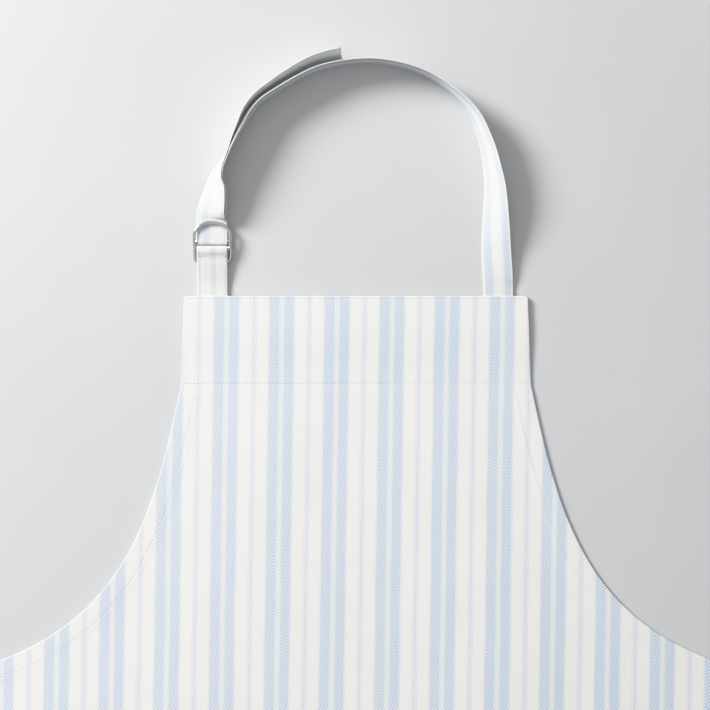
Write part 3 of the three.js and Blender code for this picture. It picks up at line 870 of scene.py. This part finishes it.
def centripetal(points, t):
    """Point on a centripetal Catmull-Rom curve through points, for t from 0 to 1."""
    spans = len(points) - 1
    i = min(int(t * spans), spans - 1)
    share = t * spans - i
    p1 = points[i]
    p2 = points[i + 1]
    p0 = points[i - 1] if i > 0 else p1 * 2 - p2
    p3 = points[i + 2] if i + 2 <= spans else p2 * 2 - p1
    d0 = math.sqrt((p1 - p0).length)
    d1 = math.sqrt((p2 - p1).length)
    d2 = math.sqrt((p3 - p2).length)
    leave = ((p1 - p0) / d0 - (p2 - p0) / (d0 + d1) + (p2 - p1) / d1) * d1
    arrive = ((p2 - p1) / d1 - (p3 - p1) / (d1 + d2) + (p3 - p2) / d2) * d1
    cubic = p1 * 2 - p2 * 2 + leave + arrive
    square = p2 * 3 - p1 * 3 - leave * 2 - arrive
    return p1 + leave * share + square * share ** 2 + cubic * share ** 3


def strap_station(t, lift, offset, lean):
    """Station at a share t of the strap's curve, lifted off the surface and moved along its face."""
    spot = centripetal(strap_points, t)
    ahead = centripetal(strap_points, min(t + HEADING_STEP, 1))
    heading = ahead - centripetal(strap_points, max(t - HEADING_STEP, 0))
    heading.z = 0
    heading.normalize()
    inwards = Vector((heading.y, -heading.x, 0))
    twist = math.radians(min(max(spot.z, 0), 180))
    tilt = twist + math.radians(lean)
    across = inwards * math.cos(tilt) + UP * math.sin(tilt)
    face = inwards * -math.sin(tilt) + UP * math.cos(tilt)
    push = inwards * -math.sin(twist) + UP * math.cos(twist)
    low = TAPE / 2 * abs(math.cos(twist)) + lift
    inset = STRAP_WIDTH * max(-math.cos(twist), 0)
    edge_point = Vector((spot.x, spot.y, low)) + inwards * inset + push * offset
    edge_point.z = max(edge_point.z, abs(face.z) * TAPE / 2 + 0.02)
    return Station(edge_point, across, face)


def strap_lengths(steps=110):
    lengths = [0]
    before = strap_points[0]
    for k in range(1, steps + 1):
        here = centripetal(strap_points, k / steps)
        lengths.append(lengths[-1] + math.hypot(here.x - before.x, here.y - before.y))
        before = here
    return lengths


strap_run = strap_lengths()


def strap_share(distance):
    """Share of the curve at a distance along it."""
    steps = len(strap_run) - 1
    i = next((k for k in range(1, steps) if strap_run[k] >= distance), steps)
    return (i - 1 + (distance - strap_run[i - 1]) / (strap_run[i] - strap_run[i - 1])) / steps


def tail_station(distance):
    region = ring_crown_y - fold_mid_y
    settled = smooth(distance, region, region + TAIL_SETTLE)
    parted = smooth(distance, TAIL_PARTS_AT, TAIL_PARTS_AT + TAIL_PARTING)
    offset = lerp(TAPE + FOLD_ROOM, TAPE + GAP, settled) + TAIL_STAND_OFF * parted
    lean = TAIL_LEAN * smooth(distance, TAIL_SWING_AT, TAIL_LENGTH)
    return strap_station(strap_share(distance), 0, offset, lean)


def fold_stations(first, last, count):
    """Stations round the strap's fold, by the angle from its upper ply to its lower ply."""
    stations = []
    for k in range(count + 1):
        angle = lerp(first, last, k / count)
        out = Vector((0, -math.sin(angle), math.cos(angle)))
        spot = Vector((outer_x, fold_mid_y, fold_mid_z)) + out * fold_radius
        stations.append(Station(spot, RIGHT, out))
    return stations


def fold_with_loop(piece):
    """Move a piece's placement into the points of its mesh."""
    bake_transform(piece)


def build_strap():
    """The long ply: from behind the bib, round the neck, to the crest of the fold through the rings."""
    sewn = []
    for y in (bib_top - SEWN_LENGTH, *spread(bib_top - SEWN_LENGTH, bib_top, 4)):
        spot = Vector((-ring_x - STRAP_WIDTH / 2, y, CLOTH + GAP + TAPE / 2))
        sewn.append(Station(spot, RIGHT, -UP))
    main = []
    count = 330
    for k in range(count, -1, -1):
        lift = (CLOTH + GAP) * smooth(k / count, 0.9, 1)
        main.append(strap_station(k / count, lift, 0, 0))
    crest = [Station(s.edge, s.across, -s.face) for s in fold_stations(math.pi, math.pi / 2, 8)[1:]]
    strap, length = build_tape("neck_strap_cloth", [*sewn, *main, *crest], TAPE, strap_cloth)
    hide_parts("neck_strap", "neck_strap_sewn_end")
    fold_with_loop(strap)
    for word, side in (("front", 1), ("back", -1)):
        rows = tape_stitches(f"stitches_strap_{word}", main, STRAP_WIDTH, side)
        fold_with_loop(rows)


def build_tail():
    """The short ply: from the crest of the fold, under the front ring, to the strap's free end."""
    stations = fold_stations(math.pi / 2, 0, 8)[:-1]
    count = 120
    stations += [tail_station(lerp(0, TAIL_LENGTH, k / count)) for k in range(count + 1)]
    tail, length = build_tape("strap_tail_cloth", stations, TAPE * 0.96, tail_cloth)
    turned = []
    for k in range(9):
        station = tail_station(lerp(TAIL_LENGTH - TAIL_HEM, TAIL_LENGTH - GAP, k / 8))
        rise = (TAPE + 0.12) * smooth(k, -0.5, 1.2)
        corner = station.edge + station.face * rise + station.across * GAP
        turned.append(Station(corner, station.across, station.face, STRAP_WIDTH - 2 * GAP))
    hem, _ = build_tape("strap_end_hem_cloth", turned, TAPE * 0.8, tail_cloth)
    rows = tape_stitches("stitches_tail", stations, STRAP_WIDTH, 1)
    start = tail_station(TAIL_SWING_AT - TAIL_BEND).middle() * MM
    end = tail_station(TAIL_SWING_AT + TAIL_BEND).middle() * MM
    for piece in (tail, rows):
        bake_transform(piece)
    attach(hem, "loose_tail")
    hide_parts("strap_tail")
    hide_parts("strap_end_hem")


LOOP_CLEAR = 18  # stations of the ring loop that lie behind the bib
SEWN_UPPER_Z = 1.95
SEWN_LOWER_Z = 1.05


def build_ring_loop():
    """Tape folded round both rings' bars, with both of its ends caught behind the bib."""
    radius = wire_radius + 0.4 + TAPE / 2
    bar_y = bib_top + FRONT_BAR
    back_y = bib_top + BACK_BAR
    over = back_ring_z + wire_radius + 2 * GAP + TAPE / 2
    upper = [
        (bib_top - SEWN_LENGTH, SEWN_UPPER_Z), (bib_top - 6, SEWN_UPPER_Z), (bib_top + 4, 2.0),
        (back_y - 16, 2.5), (back_y - 3, over), (back_y + 3, over + 0.8),
        (bar_y - 2.6, front_bar_z + radius - 0.3),
    ]
    turn = []
    for k in range(13):
        angle = math.pi * k / 12
        turn.append((bar_y + math.sin(angle) * radius, front_bar_z + math.cos(angle) * radius))
    lower = [
        (bar_y - 1.5, front_bar_z - radius - 0.25), (bar_y - 6.5, TAPE / 2 + 0.1),
        (back_y - 4, TAPE / 2 + 0.05), (bib_top + 5, TAPE / 2 + 0.1),
        (bib_top - 1, SEWN_LOWER_Z), (bib_top - SEWN_LENGTH, SEWN_LOWER_Z),
    ]
    line = rounded_line(upper, 1.6) + [Vector(p) for p in turn[1:-1]] + rounded_line(lower, 1.6)
    stations = level_stations(outer_x, line)
    loop, length = build_tape("ring_loop_cloth", stations, TAPE * 0.94, loop_cloth)
    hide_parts("ring_loop_tape", "ring_loop_sewn_end")
    rows = tape_stitches("stitches_ring_loop", stations[LOOP_CLEAR:], STRAP_WIDTH, 1)
    for piece in (loop, rows):
        fold_with_loop(piece)


# ---- waist ties ----

TIE_CLEAR = 12  # stations of a tie that lie behind the panel or close beside it
TIE_HEM_STATIONS = 3  # stations under the turned hem at a tie's end


def ribbon_station(first, second, face):
    across = second - first
    return Station(first, across.normalized(), face, across.length)


def tie_stations():
    """Right-hand tie: out from behind the panel, turned down at a corner fold, and doubled once."""
    far_x = tab_high.x
    inner_x = far_x - TIE_WIDTH
    high = TAPE * 1.5 + GAP
    low = TAPE / 2 + 0.02
    swing = (high - low) / 2
    turn_y = node_box("waist_tie_right")[0].y + swing + TAPE / 2
    end_y = tab_low.y - 14
    stations = []

    def add(first, second, z, face):
        stations.append(ribbon_station(Vector((*first, z)), Vector((*second, z)), face))

    def add_level(y, z, face, sway=0):
        add((far_x + sway, y), (inner_x + sway, y), z, face)

    sewn_x = half_skirt - TIE_SEWN
    for x in (sewn_x, *spread(sewn_x, half_skirt, 3), half_skirt, half_skirt + 1.5):
        z = lerp(CLOTH + GAP + TAPE / 2, high, smooth(x, half_skirt - 6, half_skirt + 3))
        add((x, tab_low.y), (x, tab_high.y), z, UP)
    start_x = half_skirt + 2
    for k in range(9):
        first_x = lerp(start_x, far_x, k / 8)
        second_x = lerp(start_x, inner_x, k / 8)
        add((first_x, tab_low.y), (second_x, tab_high.y), high, UP)
    out = Vector((1, 1, 0)).normalized()
    for k in range(1, 8):
        angle = math.pi * k / 8
        shift = out * math.sin(angle) * swing
        z = low + swing + math.cos(angle) * swing
        first = Vector((far_x, tab_low.y, z)) + shift
        second = Vector((inner_x, tab_high.y, z)) + shift
        stations.append(ribbon_station(first, second, out * math.sin(angle) + UP * math.cos(angle)))
    level_y = tab_low.y - 3
    for k in range(9):
        first_y = lerp(tab_low.y, level_y, k / 8)
        second_y = lerp(tab_high.y, level_y, k / 8)
        add((far_x, first_y), (inner_x, second_y), low, -UP)
    for y in spread(level_y, turn_y, 6):
        add_level(y, low, -UP, 0.5 * noise.noise(Vector((0.4, y / 70, 1.7))))
    for k in range(9):
        angle = math.pi * k / 8
        face = Vector((0, -math.sin(angle), -math.cos(angle)))
        spot = Vector((0, turn_y, low + swing)) + face * swing
        add_level(spot.y, spot.z, face)
    for y in (*spread(turn_y, end_y, 6), end_y):
        rise = 0.5 * max(noise.noise(Vector((3.4, y / 45, 8.7))), 0)
        add_level(y, high + rise, UP, 0.8 * noise.noise(Vector((7.4, y / 60, 1.7))))
    return stations


def mirrored_station(station):
    """The same cross-line on the other side of the centreline."""
    far = station.edge + station.across * station.width
    flip = Vector((-1, 1, 1))
    return ribbon_station(far * flip, station.edge * flip, station.face * flip)


def build_ties():
    for word, sign in SIDES:
        stations = tie_stations()
        if sign < 0:
            stations = [mirrored_station(station) for station in stations]
        tie, length = build_tape(f"waist_tie_cloth_{word}", stations, TAPE, tie_cloth, TIE_WIDTH)
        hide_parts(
            f"waist_tie_{word}", f"waist_tie_tab_{word}", f"waist_tie_corner_fold_{word}",
            f"waist_tie_sewn_end_{word}",
        )
        turned = []
        for station in reversed(stations[-TIE_HEM_STATIONS:]):
            turned.append(Station(station.edge + UP * (TAPE + 0.1), station.across, station.face, TIE_WIDTH))
        hem, _ = build_tape(f"tie_end_hem_cloth_{word}", turned, CLOTH, tie_cloth, TIE_WIDTH)
        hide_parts(f"tie_end_hem_{word}")
        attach(hem, f"{word}_tie")
        rows = tape_stitches(f"stitches_tie_{word}", stations[TIE_CLEAR:], TIE_WIDTH, 1)
        for piece in (tie, rows):
            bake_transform(piece)


# ---- rings ----


def ring_outline(steps=200):
    """Middle of a ring's wire: a straight bar, two tight corners and a flattened crown."""

    def arc(centre, across, rise, first, turn, count):
        for k in range(count + 1):
            angle = first + turn * k / count
            points.append(Vector((centre[0] + math.cos(angle) * across, centre[1] + math.sin(angle) * rise)))

    points = []
    bar = ring_half - RING_CORNER
    arc((bar, RING_CORNER), RING_CORNER, RING_CORNER, -math.pi / 2, math.pi / 2, 12)
    arc((0, ring_reach - RING_CROWN), ring_half, RING_CROWN, 0, math.pi, 60)
    arc((-bar, RING_CORNER), RING_CORNER, RING_CORNER, math.pi, math.pi / 2, 12)
    points.append(points[0])
    total = sum((b - a).length for a, b in zip(points, points[1:]))
    return [along_line(points, total * k / steps) for k in range(steps)]


def build_ring(name, node, bar, slope):
    """A round wire along the outline, with its bar at the point bar, tilted up by slope."""
    outline = ring_outline()
    sides = 20
    vertices = []
    places = []
    count = len(outline)
    for i, point in enumerate(outline):
        tangent = (outline[(i + 1) % count] - outline[i - 1]).normalized()
        out = Vector((tangent.y, -tangent.x))
        for k in range(sides):
            angle = math.tau * k / sides
            flat = point + out * math.cos(angle) * wire_radius
            z = math.sin(angle) * wire_radius
            y = flat.y * math.cos(slope) - z * math.sin(slope)
            z = flat.y * math.sin(slope) + z * math.cos(slope)
            vertices.append(bar + Vector((flat.x, y, z)))
            places.append((k / sides, i / count))
    piece = add_piece(name, vertices, loft_faces(count, sides, closed=True), places, metal)
    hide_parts(node)
    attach(piece, node.replace("d_ring_", "") + "_ring")


def build_rings():
    crossing = math.sqrt(1 - (STRAP_WIDTH / 2 / ring_half) ** 2)
    crossing_reach = ring_reach - RING_CROWN * (1 - crossing)
    slope = math.atan((2 * TAPE + FOLD_ROOM + GAP + wire_radius - front_bar_z) / crossing_reach)
    build_ring("back_ring_wire", "d_ring_back", Vector((ring_x, bib_top + BACK_BAR, back_ring_z)), 0)
    build_ring("front_ring_wire", "d_ring_front", Vector((ring_x, bib_top + FRONT_BAR, front_bar_z)), slope)


# ---- rows of stitches ----

STITCH_PITCH = 3.3
STITCH_LENGTH = 2.5
STITCH_RADIUS = 0.2
STITCH_DEPTH = 0.42  # share of a tape's thickness at which its stitches lie over its middle


def stitch_spots(line):
    """Places of the needle holes along a line of (point, upward direction) pairs."""
    spots = [line[0]]
    left = STITCH_PITCH
    for (start, up), (end, _) in zip(line, line[1:]):
        span = (end - start).length
        while left <= span:
            spots.append((start.lerp(end, left / span), up))
            left += STITCH_PITCH
        left -= span
    return spots


def build_stitches(name, *lines):
    """Short stitches laid end to end along lines of (point, upward direction) pairs."""
    sides = 6
    profile = ((0, 0.45, -0.12), (0.12, 0.85, 0.03), (0.5, 1, 0.1), (0.88, 0.85, 0.03), (1, 0.45, -0.12))
    stitch_faces = loft_faces(len(profile), sides)
    vertices = []
    places = []
    faces = []
    pairs = []
    for line in lines:
        spots = stitch_spots(line)
        pairs += zip(spots, spots[1:])
    for (start, up), (end, _) in pairs:
        ahead = (end - start).normalized()
        aside = ahead.cross(up).normalized()
        first = len(vertices)
        for share, swell, lift in profile:
            middle = start + ahead * STITCH_LENGTH * share + up * lift
            for k in range(sides):
                angle = math.tau * k / sides
                out = aside * math.cos(angle) + up * math.sin(angle)
                vertices.append(middle + out * STITCH_RADIUS * swell)
                places.append((share * STITCH_LENGTH, angle * STITCH_RADIUS))
        faces += [tuple(first + corner for corner in face) for face in stitch_faces]
    piece = add_piece(name, vertices, faces, places, thread)
    return piece


def panel_stitches(seam_name, spots):
    """A row of stitches on the front panel, through (x, y, distance from the side edge, length down it)."""
    line = [(Vector((x, y, panel_top(x, y, inside, along) + 0.05)), UP) for x, y, inside, along in spots]
    piece = build_stitches(f"stitches_{seam_name}", line)
    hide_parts(f"thread_{seam_name}")
    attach(piece, "apron_body")
    return piece


def tack_corners():
    """Corners of the box of stitches that holds a tie, closed on its first."""
    near_x = half_skirt - TIE_SEWN + 2
    far_x = half_skirt - 3
    low_y = tab_low.y + 3
    high_y = tab_high.y - 4
    return ((near_x, low_y), (far_x, low_y), (far_x, high_y), (near_x, high_y), (near_x, low_y))


def build_panel_stitches():
    """Stitches of the bib's top, the facing, the hems and the ties' tacks."""
    pieces = []
    for name, depth, width_y, step in (
        ("bib_top", EDGE_STITCH, bib_top - 5, 1.5), ("facing", FACING_STITCH, facing_foot, 1.5),
    ):
        reach = edge_x(width_y) - EDGE_STITCH
        spots = [(x, bib_top - depth, MARGIN, 0) for x in (-reach, *spread(-reach, reach, step), reach)]
        pieces.append(panel_stitches(name, spots))
    reach = half_skirt - SIDE_HEM
    spots = [(x, hem_y + BOTTOM_STITCH, MARGIN, 0) for x in (-reach, *spread(-reach, reach, 3), reach)]
    pieces.append(panel_stitches("bottom_hem", spots))
    for word, sign in SIDES:
        spots = []
        for distance in spread(5, armhole_length - 12, 1.5):
            point, inwards = armhole_place(distance)
            spot = point + inwards * HEM_STITCH
            spots.append((spot.x * sign, spot.y, HEM_STITCH, facing_depth + distance))
        pieces.append(panel_stitches(f"armhole_{word}", spots))
        spots = []
        for y in spread(hem_y + BOTTOM_HEM, tab_low.y - 2, 3):
            along = facing_depth + armhole_length + waist.y - y
            spots.append(((half_skirt - HEM_STITCH) * sign, y, HEM_STITCH, along))
        pieces.append(panel_stitches(f"side_{word}", spots))
        spots = []
        corners = tack_corners()
        for (x0, y0), (x1, y1) in zip(corners, corners[1:]):
            for share in (0, 0.2, 0.4, 0.6, 0.8):
                x = lerp(x0, x1, share)
                spots.append((x * sign, lerp(y0, y1, share), half_skirt - x, 0))
        spots.append((corners[0][0] * sign, corners[0][1], TIE_SEWN, 0))
        pieces.append(panel_stitches(f"tie_tack_{word}", spots))
    return pieces


def tape_stitches(name, stations, width, side):
    """Two rows of stitches along a tape, a little inside its long edges, on the face on one side."""
    lines = []
    for inset in (EDGE_STITCH, width - EDGE_STITCH):
        line = []
        for station in stations:
            face = station.face * side
            stretch = station.width / width
            spot = station.edge + station.across * inset * stretch + face * (TAPE * STITCH_DEPTH)
            line.append((spot, face))
        lines.append(line)
    return build_stitches(name, *lines)


# ---- stage ----

WHITE_LEVEL = 1.7  # light that shows as pure white
FLOOR_REACH = 6  # metres
FLOOR_DROP = 0.0003  # metres
CAMERA_HEIGHT = 1200
CAMERA_X = -0.8
CAMERA_Y = -11.7
VIEW_WIDTH = 568


def build_floor():
    nodes = Nodes("floor")
    place = nodes.add("ShaderNodeTexCoord").outputs["Object"]
    nodes.colour(nodes.mix(nodes.noise(place, 6, 3), (0.595, 0.595, 0.6, 1), (0.655, 0.655, 0.657, 1)))
    nodes.set(Roughness=0.6)
    mesh = bpy.data.meshes.new("floor")
    corners = [(x * FLOOR_REACH, y * FLOOR_REACH, 0) for x, y in ((-1, -1), (1, -1), (1, 1), (-1, 1))]
    mesh.from_pydata(corners, [], [(0, 1, 2, 3)])
    mesh.materials.append(nodes.material)
    add_object("floor", mesh, (0, 0, -FLOOR_DROP))


def build_light(name, place, size, energy):
    """A round soft light, aimed at the origin."""
    light = bpy.data.lights.new(name, "AREA")
    light.shape = "DISK"
    light.size = size
    light.energy = energy
    thing = add_object(name, light, place)
    thing.rotation_euler = (-thing.location).to_track_quat("-Z", "Y").to_euler()


def build_lights():
    """A large soft light from the upper left, and a studio that is brightest overhead."""
    build_light("key", Vector((-1.75, 1.15, 1.1)), 0.9, 74)
    world = bpy.data.worlds.new("studio")
    world.use_nodes = True
    tree = world.node_tree
    direction = tree.nodes.new("ShaderNodeTexCoord")
    facing = tree.nodes.new("ShaderNodeVectorMath")
    facing.operation = "DOT_PRODUCT"
    facing.inputs[1].default_value = Vector((-0.1, 0.1, 0.99))
    tree.links.new(direction.outputs["Generated"], facing.inputs[0])
    ramp = tree.nodes.new("ShaderNodeMapRange")
    ramp.interpolation_type = "SMOOTHSTEP"
    for name, value in (("From Min", -0.1), ("From Max", 1), ("To Min", 0.06), ("To Max", 0.63)):
        ramp.inputs[name].default_value = value
    tree.links.new(facing.outputs["Value"], ramp.inputs["Value"])
    tree.links.new(ramp.outputs["Result"], tree.nodes["Background"].inputs["Strength"])
    tree.nodes["Background"].inputs["Color"].default_value = (0.965, 0.98, 1, 1)
    bpy.context.scene.world = world


def build_camera():
    """Straight above the bib, as far away as a camera on a stand would be."""
    camera = bpy.data.cameras.new("camera")
    camera.sensor_width = 36
    camera.lens = camera.sensor_width * CAMERA_HEIGHT / VIEW_WIDTH
    bpy.context.scene.camera = add_object("camera", camera, metres(CAMERA_X, CAMERA_Y, CAMERA_HEIGHT))


def build_tone():
    """Plain colours, with a soft shoulder that keeps the stripes in the brightest cloth."""
    view = bpy.context.scene.view_settings
    view.view_transform = "Standard"
    view.use_curve_mapping = True
    curve = view.curve_mapping
    curve.white_level = (WHITE_LEVEL, WHITE_LEVEL, WHITE_LEVEL)
    points = curve.curves[3].points
    for light, shown in ((0.4, 0.4), (0.8, 0.8), (1.0, 0.91), (1.3, 0.965)):
        points.new(light / WHITE_LEVEL, shown)
    curve.update()


# ---- the apron ----


def build_body():
    """The panel with its facing, its hems and their stitches."""
    panel = build_panel()
    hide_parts("front_panel")
    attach(panel, "apron_body")
    facing = build_facing()
    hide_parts("top_facing")
    hems = build_hems()
    for piece in (facing, *hems):
        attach(piece, "apron_body")
    stitches = build_panel_stitches()


build_camera()
build_body()
build_strap()
build_tail()
build_ring_loop()
build_rings()
build_ties()
build_floor()
build_lights()
build_tone()
